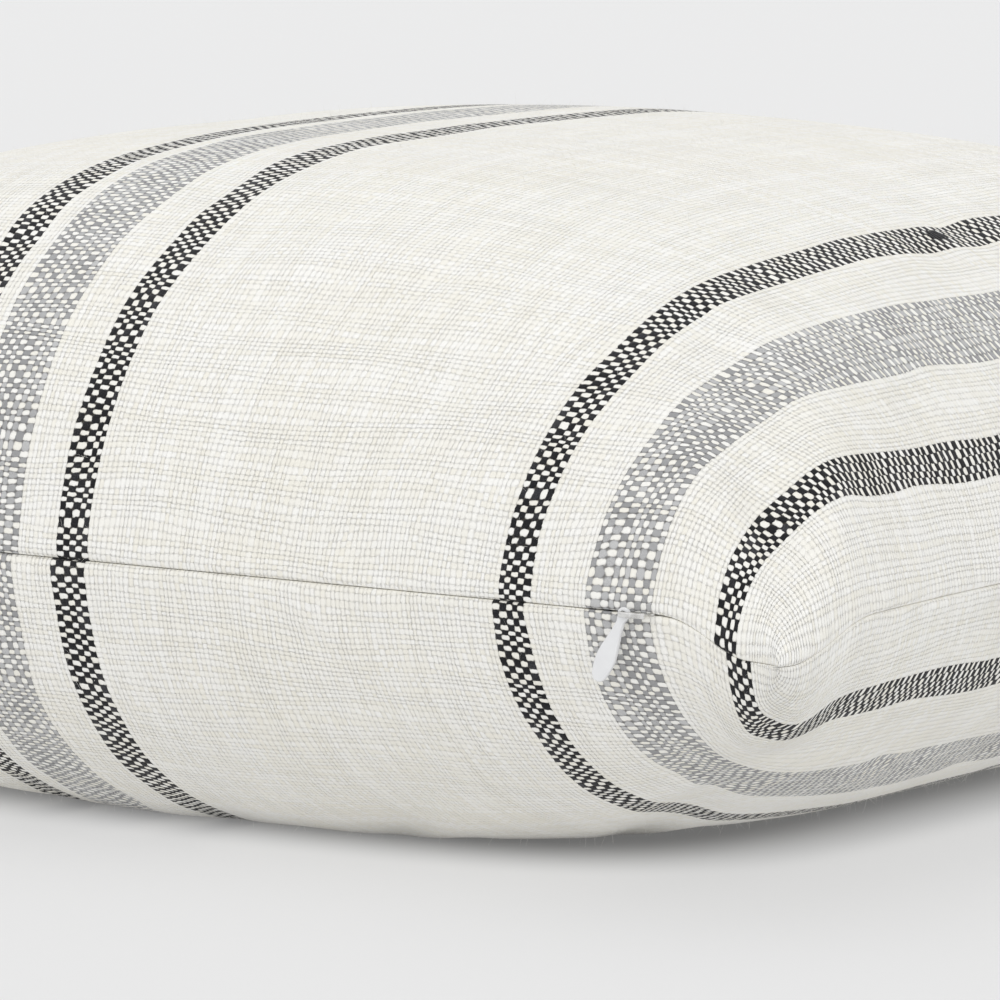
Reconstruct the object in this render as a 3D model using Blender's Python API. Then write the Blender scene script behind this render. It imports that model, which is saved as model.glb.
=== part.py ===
"""Square striped throw pillow lying flat: woven cover with a concealed zip along its front edge, and a
filled insert inside it. Units are metres, +Z up, origin under the pillow's middle on its resting plane.
X runs along the zip edge, and the zip edge faces -Y."""

import math

import bmesh
import bpy
import numpy as np
from mathutils import Matrix, Vector

# ---- cover, as sewn ----
FABRIC_HALF = 0.2540        # half of the 20 in square, measured along the cloth from its middle to a seam
CLOTH_THICKNESS = 0.0012
SEAM_HEIGHT = 0.0775        # the seam plane above the floor
RISE_TOP = 0.0985           # top panel's crown above the seam
DROP_BOTTOM = 0.0830        # bottom panel's belly below the seam, before the floor flattens it
POWERS_TOP = (2.9, 3.5)     # how full the top panel's profile is along X and along Y, crown to seam
POWERS_BOTTOM = (2.6, 4.1)  # the same for the bottom panel
SIDE_REACH = 0.2145         # plan distance from the middle to a side seam at mid side
BACK_REACH = 0.2105
ZIP_REACH = 0.2070          # the zip keeps its edge straight at this distance
CORNER_REACH = 0.2290
CORNER_FRONT = 0.2260       # the two front corners stand this far out on the zip side
SIDE_BOW_POWER = 3.9
ZIP_BOW_POWER = 12.0
CORNER_SQUARENESS = 12.0    # the lower, the rounder the outline at its corners
CORNER_DROOP = 0.0090       # corners hang lower than the seam plane
DROOP_ALONG_ZIP = (0.785, 0.91)    # plan shares of the reach where the droop begins and is full
DROOP_ALONG_SIDE = (0.760, 0.97)
SEAM_GAP_SEWN = 0.0003      # between the panels along the three sewn sides
SEAM_GAP_ZIP = 0.0016       # between the panels along the zip
PANEL_CELLS = 34

# ---- insert ----
INSERT_INSET = 0.014        # plan distance from the cover's seam to the insert's seam
INSERT_CLEARANCE = 0.0022   # from the cover's outer face to the insert's casing
CASING_THICKNESS = 0.0008
CASING_GAP = 0.0004
FILL_CLEARANCE = 0.0026     # from the casing's inner face to the fill, at the crown
FILL_INSET = 0.0085         # from the casing's seam to the fill's edge, in plan
INSERT_CELLS = 18

# ---- zip ----
ZIP_START = -0.1715         # left end of the tapes
ZIP_END = 0.1845            # right end of the tapes
TAPE_DEPTH_NEAR = 0.0016    # along the cloth from the seam to the tape's near edge
TAPE_DEPTH_FAR = 0.0140
TAPE_THICKNESS = 0.0006
TAPE_CLEARANCE = 0.0010
COIL_FRONT = 0.0037         # behind the cover's front plane
COIL_DEPTH = 0.0017
COIL_NEAR = 0.0008          # from the seam plane to a coil row's inner side
COIL_FAR = 0.0026
COIL_PITCH = 0.0060
COIL_START = -0.1635
COIL_END = 0.1785
STOP_LENGTH = 0.0035
STOP_GROW = 0.0004

# ---- slider ----
SLIDER_X = 0.1695           # hinge leg of the slider when the zip is closed
SLIDER_LENGTH = 0.0085
SLIDER_BACK = -0.0012       # body's left end, from the hinge leg
SLIDER_BLADE = 0.0006       # thickness of the blade that passes between the panels and the coil rows
SLIDER_WALL = 0.0008
SLIDER_CLEARANCE = 0.0004
BRIDGE_LENGTH = 0.0062      # between the bridge's two legs
BRIDGE_REACH = 0.0042       # the bridge's outer face, in front of the cover
BRIDGE_BAR = 0.0009
LEG_RADIUS = 0.0004

# ---- pull tab ----
TAB_LENGTH = 0.0205
TAB_HEAD_RADIUS = 0.0017
TAB_NECK_HALF = 0.0011
TAB_BELLY_HALF = 0.0027
TAB_THICKNESS = 0.0014
TAB_EYE_RADIUS = 0.0009
TAB_BACK = 0.0015           # from the cover's front plane to the tab's back face
TAB_LEAN = math.radians(-24.0)   # hangs leaning towards the zip's open end


# ---------------------------------------------------------------- scene and materials

def clear_scene():
    for obj in list(bpy.data.objects):
        bpy.data.objects.remove(obj, do_unlink=True)


def make_material(name, colour, roughness, metallic=0.0):
    material = bpy.data.materials.new(name)
    material.use_nodes = True
    shader = material.node_tree.nodes["Principled BSDF"]
    shader.inputs["Base Color"].default_value = (*colour, 1.0)
    shader.inputs["Roughness"].default_value = roughness
    shader.inputs["Metallic"].default_value = metallic
    material.diffuse_color = (*colour, 1.0)
    return material


def add_object(name, mesh, material, location=(0.0, 0.0, 0.0), smooth=True):
    mesh.materials.append(material)
    if smooth:
        mesh.shade_smooth()
        mesh.set_sharp_from_angle(angle=math.radians(40.0))
    obj = bpy.data.objects.new(name, mesh)
    obj.location = location
    bpy.context.scene.collection.objects.link(obj)
    return obj


def mesh_from(name, points, faces):
    mesh = bpy.data.meshes.new(name)
    mesh.from_pydata([tuple(map(float, p)) for p in points], [], faces)
    mesh.update()
    return mesh


# ---------------------------------------------------------------- the pillow's outer surface

HEIGHT_SHARES = np.linspace(0.0, 1.0, 25)


def arc_table(reach, height, power, steps=240):
    """Share of the arc length against the share of the reach, for one profile from crown to seam."""
    angle = np.linspace(0.0, 0.5 * math.pi, steps)
    across = np.sin(angle) ** (2.0 / power)
    up = height * np.cos(angle)
    length = np.concatenate([[0.0], np.cumsum(np.hypot(np.diff(reach * across), np.diff(up)))])
    return length / length[-1], across


def arc_tables(rise, power):
    return [arc_table(SIDE_REACH, rise * share + 1e-6, power) for share in HEIGHT_SHARES]


def panel_profile(side):
    """(crown height, powers along X and Y, arc tables along X and Y) of one panel."""
    rise = RISE_TOP if side > 0 else DROP_BOTTOM
    powers = POWERS_TOP if side > 0 else POWERS_BOTTOM
    return rise, powers, [arc_tables(rise, power) for power in powers]


PROFILES = {side: panel_profile(side) for side in (1, -1)}


def spread(position, height_share, tables):
    """Cloth position (-1 to 1) to plan position (-1 to 1) on a profile of that share of full height."""
    magnitude = np.abs(position)
    place = np.clip(height_share, 0.0, 1.0) * (len(HEIGHT_SHARES) - 1)
    low = np.minimum(place.astype(int), len(HEIGHT_SHARES) - 2)
    share = place - low
    result = np.zeros_like(magnitude)
    for k, (length, across) in enumerate(tables):
        weight = np.where(low == k, 1.0 - share, 0.0) + np.where(low + 1 == k, share, 0.0)
        result += weight * np.interp(magnitude, length, across)
    return np.sign(position) * result


def fullness(position, power):
    return np.sqrt(np.clip(1.0 - np.abs(position) ** power, 0.0, 1.0))


def ease(start, end, value):
    share = np.clip((value - start) / (end - start), 0.0, 1.0)
    return share * share * (3.0 - 2.0 * share)


def surface(a, b, side, inset=0.0, shrink=0.0, gap_sewn=SEAM_GAP_SEWN, gap_zip=SEAM_GAP_ZIP):
    """Points of one panel. a and b are cloth positions from -1 to 1 along X and Y, side is 1 for the top
    panel and -1 for the bottom one. inset draws the seam in, and shrink lowers the crown."""
    a, b = np.broadcast_arrays(np.asarray(a, float), np.asarray(b, float))
    rise, (power_x, power_y), (tables_x, tables_y) = PROFILES[side]
    s0 = spread(a, np.ones_like(a), tables_x)
    t0 = spread(b, np.ones_like(b), tables_y)
    s = spread(a, fullness(t0, power_y), tables_x)
    t = spread(b, fullness(s0, power_x), tables_y)
    reach_x = SIDE_REACH + (CORNER_REACH - SIDE_REACH) * np.abs(t) ** SIDE_BOW_POWER
    front = ZIP_REACH + (CORNER_FRONT - ZIP_REACH) * np.abs(s) ** ZIP_BOW_POWER
    back = BACK_REACH + (CORNER_REACH - BACK_REACH) * np.abs(s) ** SIDE_BOW_POWER
    towards_back = 0.5 + 0.5 * np.sin(0.5 * math.pi * t)
    reach_y = front + (back - front) * towards_back
    furthest = np.maximum(np.abs(s), np.abs(t))
    squared = (np.abs(s) ** CORNER_SQUARENESS + np.abs(t) ** CORNER_SQUARENESS) ** (1.0 / CORNER_SQUARENESS)
    rounding = 1.0 - (1.0 - furthest / np.maximum(squared, 1e-9)) * furthest ** 6
    x = s * (reach_x - inset) * rounding
    y = t * (reach_y - inset) * rounding
    height = (rise - shrink) * fullness(s, power_x) * fullness(t, power_y)
    droop = ease(*DROOP_ALONG_ZIP, np.abs(s)) * ease(*DROOP_ALONG_SIDE, np.abs(t))
    seam = SEAM_HEIGHT - CORNER_DROOP * droop
    near_zip = ease(0.80, 1.0, -b)
    gap = gap_sewn + (gap_zip - gap_sewn) * near_zip
    z = seam + side * (height + 0.5 * gap)
    if side < 0:
        z = np.maximum(z, shrink)
    return np.stack([x, y, z], axis=-1)


def outward(a, b, side, step=2e-3):
    """Unit normals of a panel, facing out of the pillow."""
    along_a = surface(a + step, b, side) - surface(a - step, b, side)
    along_b = surface(a, b + step, side) - surface(a, b - step, side)
    normal = np.cross(along_a, along_b) * side
    return normal / np.linalg.norm(normal, axis=-1, keepdims=True)


def graded(cells, edge_bias=1.35):
    """Cloth positions from -1 to 1, closer together towards the seams."""
    even = np.linspace(-1.0, 1.0, cells + 1)
    return np.sign(even) * (1.0 - (1.0 - np.abs(even)) ** edge_bias)


def grid_faces(columns, rows, flip=False):
    """Triangles of a grid, each cell cut along the diagonal that runs towards the grid's middle."""
    faces = []
    for i in range(columns - 1):
        for j in range(rows - 1):
            low = i * rows + j
            right, up, far = low + rows, low + 1, low + rows + 1
            if (2 * i < columns - 1) == (2 * j < rows - 1):
                pair = [(low, right, far), (low, far, up)]
            else:
                pair = [(low, right, up), (right, far, up)]
            faces += [face[::-1] for face in pair] if flip else pair
    return faces


def corner_normals(points):
    """Sum of the neighbouring faces' normals at each point of a grid, facing up."""
    total = np.zeros_like(points)
    across = points[1:, 1:] - points[:-1, :-1]
    other = points[:-1, 1:] - points[1:, :-1]
    face = np.cross(across, other)
    total[:-1, :-1] += face
    total[1:, :-1] += face
    total[:-1, 1:] += face
    total[1:, 1:] += face
    return total


def grid_normals(steps, side, shape):
    """Unit normals out of the pillow. At the seam they average both panels, so they lie in its plane."""
    closed = dict(shape, gap_sewn=0.0, gap_zip=0.0)
    top = corner_normals(surface(steps[:, None], steps[None, :], 1, **closed))
    bottom = -corner_normals(surface(steps[:, None], steps[None, :], -1, **closed))
    normal = (top if side > 0 else bottom).copy()
    both = top + bottom
    both[..., 2] = 0.0
    edge = np.zeros(normal.shape[:2], bool)
    edge[0, :] = edge[-1, :] = edge[:, 0] = edge[:, -1] = True
    normal[edge] = both[edge]
    return normal / np.linalg.norm(normal, axis=-1, keepdims=True)


# ---------------------------------------------------------------- cover and insert

def build_panel(name, side, material, cells, thickness, **shape):
    """A shell whose outer face is the panel's surface, with its thickness inwards."""
    steps = graded(cells)
    outer = surface(steps[:, None], steps[None, :], side, **shape)
    inner = outer - thickness * grid_normals(steps, side, shape)
    return add_object(name, ribbon_mesh(name, inner, outer), material)


def build_fill(name, material):
    """One closed body: the two faces share their seam."""
    inset = INSERT_INSET + CASING_THICKNESS + FILL_INSET
    shrink = INSERT_CLEARANCE + CASING_THICKNESS + FILL_CLEARANCE
    steps = graded(INSERT_CELLS)
    count = len(steps)
    shape = dict(inset=inset, shrink=shrink, gap_sewn=0.0, gap_zip=0.0)
    top = surface(steps[:, None], steps[None, :], 1, **shape).reshape(-1, 3)
    bottom = surface(steps[:, None], steps[None, :], -1, **shape).reshape(-1, 3)
    index = {}
    points = list(top)
    for i in range(count):
        for j in range(count):
            flat = i * count + j
            if i in (0, count - 1) or j in (0, count - 1):
                index[flat] = flat
            else:
                index[flat] = len(points)
                points.append(bottom[flat])
    faces = grid_faces(count, count)
    for face in grid_faces(count, count, flip=True):
        faces.append(tuple(index[k] for k in face))
    return add_object(name, mesh_from(name, points, faces), material)


# ---------------------------------------------------------------- seams and zip tapes

def ribbon_mesh(name, inner, outer):
    """Closed strip between two matching grids of points, outer being the side that faces out."""
    columns, rows = inner.shape[:2]
    count = columns * rows
    points = np.concatenate([outer.reshape(-1, 3), inner.reshape(-1, 3)])
    faces = grid_faces(columns, rows)
    faces += [tuple(k + count for k in face) for face in grid_faces(columns, rows, flip=True)]
    rim = [i * rows for i in range(columns)]
    rim += [(columns - 1) * rows + j for j in range(1, rows)]
    rim += [i * rows + rows - 1 for i in range(columns - 2, -1, -1)]
    rim += [j for j in range(rows - 2, 0, -1)]
    for k, here in enumerate(rim):
        after = rim[(k + 1) % len(rim)]
        faces.append((after, here, here + count, after + count))
    mesh = mesh_from(name, points, faces)
    shell = bmesh.new()
    shell.from_mesh(mesh)
    if shell.calc_volume(signed=True) < 0.0:
        bmesh.ops.reverse_faces(shell, faces=shell.faces)
    shell.to_mesh(mesh)
    shell.free()
    return mesh


def build_tape(name, side, material):
    """Woven tape lying against the inside of the cover, its near edge beside the seam."""
    a = np.linspace(ZIP_START, ZIP_END, 25)[:, None] / CORNER_REACH
    b = -1.0 + np.linspace(TAPE_DEPTH_NEAR, TAPE_DEPTH_FAR, 4)[None, :] / FABRIC_HALF
    a, b = np.broadcast_arrays(a, b)
    face = surface(a, b, side)
    normal = outward(a, b, side)
    near = CLOTH_THICKNESS + TAPE_CLEARANCE
    outer = face - normal * near
    inner = face - normal * (near + TAPE_THICKNESS)
    return add_object(name, ribbon_mesh(name, inner, outer), material)


def build_allowance(name, start, end, material, width=0.0085, thickness=0.0012, setback=0.0022):
    """Overlocked seam allowance turned into the pillow along one sewn side, lying in the seam plane."""
    start, end = np.array(start), np.array(end)
    share = np.linspace(0.0, 1.0, 22)[:, None, None]
    depth = np.array([0.0, 1.0])[None, :, None]
    cloth = start + (end - start) * share
    plan = surface(cloth[..., 0], cloth[..., 1], 1, gap_sewn=0.0, gap_zip=0.0)
    inwards = -plan.copy()
    along = end - start
    inwards[..., 0] = 0.0 if abs(along[0]) > 0 else inwards[..., 0]
    inwards[..., 1] = 0.0 if abs(along[1]) > 0 else inwards[..., 1]
    inwards[..., 2] = 0.0
    inwards /= np.linalg.norm(inwards, axis=-1, keepdims=True)
    middle = plan + inwards * (setback + width * depth)
    lift = np.array([0.0, 0.0, 0.5 * thickness])
    return add_object(name, ribbon_mesh(name, middle - lift, middle + lift), material)


# ---------------------------------------------------------------- zip coils and stops

def box_into(shell, low, high):
    low, high = Vector(low), Vector(high)
    size = high - low
    place = Matrix.Translation((low + high) / 2) @ Matrix.Diagonal((*size, 1.0))
    return bmesh.ops.create_cube(shell, size=1.0, matrix=place)["verts"]


def build_coil(name, side, material):
    """One row of the nylon coil, its turns drawn as ribs on the side away from the seam plane."""
    count = round((COIL_END - COIL_START) / COIL_PITCH)
    profile = [(COIL_START, COIL_NEAR), (COIL_START + count * COIL_PITCH, COIL_NEAR)]
    valley = COIL_FAR - 0.0007
    for k in range(count, 0, -1):
        left = COIL_START + (k - 1) * COIL_PITCH
        right = left + COIL_PITCH
        profile.append((right - (0.0 if k == count else 0.05 * COIL_PITCH), valley))
        profile.append((right - 0.30 * COIL_PITCH, COIL_FAR))
        profile.append((left + 0.30 * COIL_PITCH, COIL_FAR))
        profile.append((left + (0.0 if k == 1 else 0.05 * COIL_PITCH), valley))
    front = -ZIP_REACH + COIL_FRONT
    points = [(x, front, SEAM_HEIGHT + side * z) for x, z in profile]
    points += [(x, front + COIL_DEPTH, SEAM_HEIGHT + side * z) for x, z in profile]
    total = len(profile)
    faces = [tuple(range(total)), tuple(range(2 * total - 1, total - 1, -1))]
    for k in range(total):
        after = (k + 1) % total
        faces.append((after, k, k + total, after + total))
    mesh = mesh_from(name, points, faces)
    shell = bmesh.new()
    shell.from_mesh(mesh)
    bmesh.ops.recalc_face_normals(shell, faces=shell.faces)
    shell.to_mesh(mesh)
    shell.free()
    return add_object(name, mesh, material, smooth=False)


def build_stop(name, x_low, z_low, z_high, material):
    front = -ZIP_REACH + COIL_FRONT
    shell = bmesh.new()
    box_into(
        shell,
        (x_low, front - 0.0001, SEAM_HEIGHT + z_low),
        (x_low + STOP_LENGTH, front + COIL_DEPTH + STOP_GROW, SEAM_HEIGHT + z_high),
    )
    mesh = bpy.data.meshes.new(name)
    shell.to_mesh(mesh)
    shell.free()
    obj = add_object(name, mesh, material, smooth=False)
    bevel = obj.modifiers.new("crimp_edges", "BEVEL")
    bevel.width = 0.0003
    bevel.segments = 2
    return obj


# ---------------------------------------------------------------- slider and pull tab

def union_into(target, others):
    for k, other in enumerate(others):
        modifier = target.modifiers.new(f"join_{k}", "BOOLEAN")
        modifier.operation = "UNION"
        modifier.solver = "EXACT"
        modifier.object = other
        other.hide_render = True
        other.display_type = "WIRE"
        other.parent = target


def box_object(name, low, high, material):
    shell = bmesh.new()
    box_into(shell, low, high)
    mesh = bpy.data.meshes.new(name)
    shell.to_mesh(mesh)
    shell.free()
    return add_object(name, mesh, material, smooth=False)


def pin_object(name, middle, radius, length, segments, material):
    """Round pin along Y."""
    shell = bmesh.new()
    place = Matrix.Translation(middle) @ Matrix.Rotation(0.5 * math.pi, 4, "X")
    bmesh.ops.create_cone(
        shell, cap_ends=True, segments=segments, radius1=radius, radius2=radius, depth=length, matrix=place
    )
    mesh = bpy.data.meshes.new(name)
    shell.to_mesh(mesh)
    shell.free()
    return add_object(name, mesh, material, smooth=False)


def build_slider(name, material):
    """Body behind the coil rows, a thin blade out through the seam, and a bridge that holds the tab.
    The object's origin is on the hinge leg, in the seam plane, at the cover's front plane."""
    back = SLIDER_BACK
    end = SLIDER_BACK + SLIDER_LENGTH
    half_blade = 0.5 * SLIDER_BLADE
    coil_back = COIL_FRONT + COIL_DEPTH + STOP_GROW
    plate_near = coil_back + SLIDER_CLEARANCE
    plate_far = plate_near + SLIDER_WALL
    flange_near = COIL_FAR + SLIDER_CLEARANCE
    flange_far = flange_near + SLIDER_WALL
    plate = box_object(name, (back, plate_near, -flange_far), (end, plate_far, flange_far), material)
    tuck = 0.0001            # keeps the joined boxes' faces from lying in one plane
    blade = box_object(
        "slider_blade", (back, 0.0002, -half_blade), (end, plate_far - 2.0 * tuck, half_blade), material
    )
    parts = [blade]
    for label, low, high in (
        ("slider_flange_upper", flange_near, flange_far - tuck),
        ("slider_flange_lower", tuck - flange_far, -flange_near),
    ):
        parts.append(box_object(label, (back, COIL_FRONT, low), (end, plate_far - tuck, high), material))
    for label, x in (("slider_hinge_leg", 0.0), ("slider_far_leg", BRIDGE_LENGTH)):
        length = BRIDGE_REACH - 0.5 * BRIDGE_BAR + 0.0012
        parts.append(pin_object(label, (x, 0.0012 - 0.5 * length, 0.0), LEG_RADIUS, length, 14, material))
    margin = 0.0008
    bar = box_object(
        "slider_bar",
        (-margin, -BRIDGE_REACH, -0.0007),
        (BRIDGE_LENGTH + margin, -BRIDGE_REACH + BRIDGE_BAR, 0.0007),
        material,
    )
    rounding = bar.modifiers.new("bar_edges", "BEVEL")
    rounding.width = 0.0003
    rounding.segments = 2
    parts.append(bar)
    union_into(plate, parts)
    plate.location = (SLIDER_X, -ZIP_REACH, SEAM_HEIGHT)
    return plate


def tab_half_width(share):
    """Half width of the tab at a share of the way from its head's centre to its tip."""
    neck = math.exp(-((share - 0.10) / 0.16) ** 2)
    belly = math.exp(-((share - 0.68) / 0.34) ** 2)
    width = TAB_NECK_HALF + (TAB_BELLY_HALF - TAB_NECK_HALF) * belly
    return width * (1.0 - 0.15 * neck)


def tab_outline():
    """Outline of the tab hanging down from its eye, anticlockwise seen from the front."""
    span = TAB_LENGTH - TAB_HEAD_RADIUS
    tip_radius = 0.0019
    side = []
    for k in range(1, 15):
        share = k / 15.0 * (1.0 - tip_radius / span)
        side.append((tab_half_width(share), -share * span))
    side = [point for point in side if point[1] < -0.9 * TAB_HEAD_RADIUS]
    points = []
    for k in range(13):
        angle = math.radians(-38.0 + 256.0 * k / 12.0)
        points.append((TAB_HEAD_RADIUS * math.cos(angle), TAB_HEAD_RADIUS * math.sin(angle)))
    points += [(-x, z) for x, z in side]
    for k in range(1, 12):
        angle = math.pi + math.pi * k / 12.0
        across, down = tip_radius * 1.05 * math.cos(angle), tip_radius * (1.0 + math.sin(angle))
        points.append((across, -span + down))
    points += side[::-1]
    return points


def build_tab(name, material, slider):
    outline = tab_outline()
    shell = bmesh.new()
    near = [shell.verts.new((x, -TAB_BACK, z)) for x, z in outline]
    far = [shell.verts.new((x, -TAB_BACK - TAB_THICKNESS, z)) for x, z in outline]
    shell.faces.new(near)
    shell.faces.new(far[::-1])
    for k in range(len(outline)):
        after = (k + 1) % len(outline)
        shell.faces.new((near[after], near[k], far[k], far[after]))
    bmesh.ops.recalc_face_normals(shell, faces=shell.faces)
    mesh = bpy.data.meshes.new(name)
    shell.to_mesh(mesh)
    shell.free()
    tab = add_object(name, mesh, material)
    bevel = tab.modifiers.new("moulded_edges", "BEVEL")
    bevel.width = 0.00035
    bevel.segments = 2
    bevel.limit_method = "ANGLE"
    cutter = pin_object("tab_eye", (0.0, 0.0, 0.0), TAB_EYE_RADIUS, 0.008, 20, material)
    cutter.hide_render = True
    cutter.display_type = "WIRE"
    cutter.parent = tab
    hole = tab.modifiers.new("eye", "BOOLEAN")
    hole.operation = "DIFFERENCE"
    hole.solver = "EXACT"
    hole.object = cutter
    tab.location = slider.location
    # Seen from the front, a negative lean swings the tip towards -X.
    tab.rotation_euler = (0.0, -TAB_LEAN, 0.0)
    return tab


# ---------------------------------------------------------------- assembly

def main():
    clear_scene()
    linen = make_material("ivory_slub_cotton", (0.80, 0.77, 0.70), 0.92)
    casing = make_material("white_casing", (0.85, 0.85, 0.83), 0.88)
    fibre = make_material("polyester_fibre", (0.88, 0.88, 0.87), 0.95)
    tape = make_material("zip_tape_ivory", (0.82, 0.79, 0.72), 0.85)
    nylon = make_material("zip_coil_white", (0.86, 0.85, 0.82), 0.45)
    thread = make_material("overlock_thread", (0.84, 0.82, 0.76), 0.85)
    steel = make_material("slider_metal", (0.72, 0.72, 0.73), 0.30, 1.0)
    enamel = make_material("white_pull", (0.83, 0.83, 0.84), 0.28)

    build_panel("cover_top_panel", 1, linen, PANEL_CELLS, CLOTH_THICKNESS)
    build_panel("cover_bottom_panel", -1, linen, PANEL_CELLS, CLOTH_THICKNESS)

    build_allowance("seam_allowance_right", (1.0, -0.93), (1.0, 0.93), thread)
    build_allowance("seam_allowance_left", (-1.0, -0.93), (-1.0, 0.93), thread)
    build_allowance("seam_allowance_back", (-0.93, 1.0), (0.93, 1.0), thread)

    build_tape("zip_tape_upper", 1, tape)
    build_tape("zip_tape_lower", -1, tape)
    build_coil("zip_coil_upper", 1, nylon)
    build_coil("zip_coil_lower", -1, nylon)
    top_stop_x = COIL_END + 0.0006
    build_stop("zip_top_stop_upper", top_stop_x, COIL_NEAR, COIL_FAR, steel)
    build_stop("zip_top_stop_lower", top_stop_x, -COIL_FAR, -COIL_NEAR, steel)
    build_stop("zip_bottom_stop", COIL_START - 0.0006 - STOP_LENGTH, -COIL_FAR, COIL_FAR, steel)

    slider = build_slider("zip_slider", steel)
    build_tab("zip_pull_tab", enamel, slider)

    insert = dict(inset=INSERT_INSET, shrink=INSERT_CLEARANCE, gap_sewn=CASING_GAP, gap_zip=CASING_GAP)
    build_panel("insert_casing_top", 1, casing, INSERT_CELLS, CASING_THICKNESS, **insert)
    build_panel("insert_casing_bottom", -1, casing, INSERT_CELLS, CASING_THICKNESS, **insert)
    build_fill("insert_fill", fibre)


main()
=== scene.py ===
"""Looks of the striped throw pillow: woven cover, inner cushion, zip and its pull tab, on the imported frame.
Units are metres, in the frame's own axes: X along the zip edge, the zip edge facing -Y, +Z up."""

import math

import bmesh
import bpy
import numpy as np
from mathutils import Matrix, Vector, noise


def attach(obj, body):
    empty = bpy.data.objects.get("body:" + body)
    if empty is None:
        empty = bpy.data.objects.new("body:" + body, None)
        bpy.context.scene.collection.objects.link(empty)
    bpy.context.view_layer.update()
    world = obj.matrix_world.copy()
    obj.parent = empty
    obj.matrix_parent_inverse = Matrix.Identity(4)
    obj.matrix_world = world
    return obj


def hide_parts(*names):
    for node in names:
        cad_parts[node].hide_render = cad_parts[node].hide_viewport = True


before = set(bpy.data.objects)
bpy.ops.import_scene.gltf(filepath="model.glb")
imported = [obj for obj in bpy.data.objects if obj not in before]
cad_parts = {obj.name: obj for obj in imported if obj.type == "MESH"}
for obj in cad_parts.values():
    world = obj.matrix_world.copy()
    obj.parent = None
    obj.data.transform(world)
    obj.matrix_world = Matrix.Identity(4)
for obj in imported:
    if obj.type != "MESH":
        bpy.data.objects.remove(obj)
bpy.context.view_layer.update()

# ---- the pillow's formula, as in the part's own source ----
FABRIC_HALF = 0.2540
SEAM_HEIGHT = 0.0775
RISE_TOP = 0.0985
DROP_BOTTOM = 0.0830
POWERS_TOP = (2.9, 3.5)
POWERS_BOTTOM = (2.6, 4.1)
SIDE_REACH = 0.2145
BACK_REACH = 0.2105
ZIP_REACH = 0.2070
CORNER_REACH = 0.2290
CORNER_FRONT = 0.2260
SIDE_BOW_POWER = 3.9
ZIP_BOW_POWER = 12.0
CORNER_SQUARENESS = 12.0
CORNER_DROOP = 0.0090
DROOP_ALONG_ZIP = (0.785, 0.91)
DROOP_ALONG_SIDE = (0.760, 0.97)
INSERT_INSET = 0.014
INSERT_CLEARANCE = 0.0030
TAPE_START = -0.1715
TAPE_END = 0.1845
TAPE_NEAR = 0.0016           # along the cloth from the seam
TAPE_FAR = 0.0140
TAPE_THICKNESS = 0.0006
TAPE_UNDER = 0.0022          # below the cover's outside
TAPE_STEPS = 200
ALLOWANCE_STEPS = 420
ALLOWANCE_SETBACK = 0.0022
ALLOWANCE_WIDTH = 0.0085
ALLOWANCE_THICKNESS = 0.0012
ALLOWANCE_REACH = 0.93       # of the side's length, from the middle
OVERLOCK_PITCH = 0.0026
OVERLOCK_SLANT = 0.35        # turns by which a loop leans across the allowance

# ---- cover mesh ----
COVER_CELLS = 104
INSERT_CELLS = 40
HALF_GAP_SEWN = 0.00004      # seam plane to a panel's folded edge, sewn sides
HALF_GAP_ZIP = 0.00009       # the same along the zip
HALF_GAP_SLIDER = 0.00020    # and where the slider parts the panels
SLIDER_OPENING = (0.156, 0.160, 0.178, 0.183)
LIP_STEPS = ((0.0006, 0.0), (0.0020, 0.05))  # how far the folded edge turns in, and closes its gap
PINCH_DEPTH = 0.0004         # how far the stitching draws the cloth in
PINCH_WIDTH = 0.0022
PINCH_ZIP_SHARE = 0.8        # of that depth along the zip
STITCH_PITCH = 0.0034
STITCH_DEPTH = 0.22          # of the pinch, between one stitch and the next
STITCH_SLANT = 1.7           # keeps the stitches of neighbouring sides out of step
ZIP_HALF_LENGTH = (0.80, 0.84)  # of the cloth position along the zip side, where the zip's gap fades
ZIP_DEPTH = (-1.0, -0.80)    # and of the position across it

FLOOR_CLEARANCE = 0.0002
BOTTOM_WEFT_OFFSET = 0.5311  # the bottom panel is another stretch of the same cloth
OUTER_STRIPE_FROM = (0.192, 0.214)  # where the bottom panel's outermost stripe starts to shift

# ---- loose fibres ----
FUZZ_SEED = 11
FUZZ_COUNT = 4200            # on each panel
FUZZ_LENGTH = 0.0030
FUZZ_WIDTH = 0.000028
FUZZ_STEPS = 3
FUZZ_LEAN = 0.75
FUZZ_CURL = 0.6
FUZZ_TAPER = 0.7

# ---- simulation ----
SIM_FRAMES = 20
SIM_PRESSURE = 3.0
SIM_CAP = 0.0022             # most that a wrinkle may stand out
SIM_DENT = 0.0007            # and the most that it may sink in
WRINKLE_CELLS = 9.0          # wrinkles broader than this many cells stay out, so the form stays the formula's
LUMP_HEIGHT = 0.0011         # slight unevenness of the filling
LUMP_SIZE = 0.055
LUMP_DENT = 0.0005           # most that the unevenness sinks in
CALM_EDGE = 0.14             # of the cloth position, where it fades towards the seam

# ---- cloth, in metres along the weave ----
WARP_PITCH = 0.00155         # fine ivory warp between the stripes
STRIPE_PITCH = 0.00212       # the black and grey yarns are thicker
WEFT_PITCH = 0.00165
BLACK_THREADS = 5
GREY_THREADS = 10
STRIPES = (                  # middle of each stripe across the cloth, and whether it is black
    (-0.2220, True), (-0.1852, False), (-0.1510, True),
    (-0.0503, True), (-0.0272, False), (0.0020, True),
    (0.1510, True), (0.1852, False), (0.2220, True),
)
STRIPE_SHIFT_BOTTOM = 0.0012  # the two panels' stripes don't quite meet at the seam
OUTER_SHIFT_BOTTOM = -0.0062  # and the bottom panel's outermost stripe sits nearer its side seam
KNOT_PLACE = (0.1495, -0.030)  # a slub knot in the right-hand black stripe


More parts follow.
